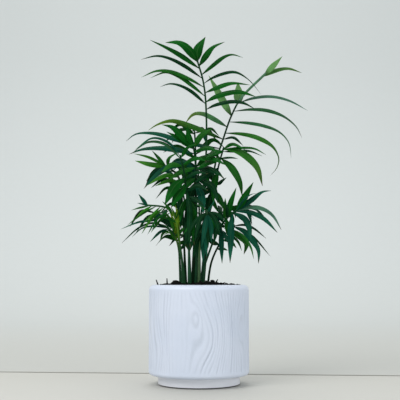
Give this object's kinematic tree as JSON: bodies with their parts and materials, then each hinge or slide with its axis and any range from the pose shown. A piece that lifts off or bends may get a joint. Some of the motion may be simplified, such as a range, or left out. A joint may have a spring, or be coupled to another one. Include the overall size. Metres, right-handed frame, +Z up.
{
  "type": "potted bamboo palm",
  "caption": "Bamboo palm with arching pinnate fronds, standing in dark soil in a round white glazed planter with a recessed foot.",
  "frame": {"origin": "middle of the flat underside of the pot's foot, on the surface that it stands on", "axes": "+Z up along the pot's axis, -Y towards the pictured front, +X to the right of that front"},
  "size_m": [0.2866, 0.2501, 0.5218],
  "materials": {
    "pot_glaze": "satin",
    "potting_soil": "matte",
    "frond_green": "satin",
    "frond_pale_green": "satin"
  },
  "bodies": {
    "root": {"pot": "pot_glaze", "soil": "potting_soil", "frond_tall_front": "frond_green", "frond_tall_back": "frond_pale_green", "frond_upper_left": "frond_green", "frond_middle_left": "frond_green", "frond_side_left": "frond_green", "frond_low_left": "frond_green", "frond_lowest_left": "frond_green", "frond_middle_right": "frond_green", "frond_low_right": "frond_green", "frond_lowest_right": "frond_green", "frond_centre": "frond_green", "frond_back_high": "frond_green", "frond_back_left": "frond_green", "frond_back_right": "frond_green", "frond_back_low_left": "frond_green", "frond_back_low_right": "frond_green", "frond_back_low": "frond_green"}
  },
  "joints": []
}
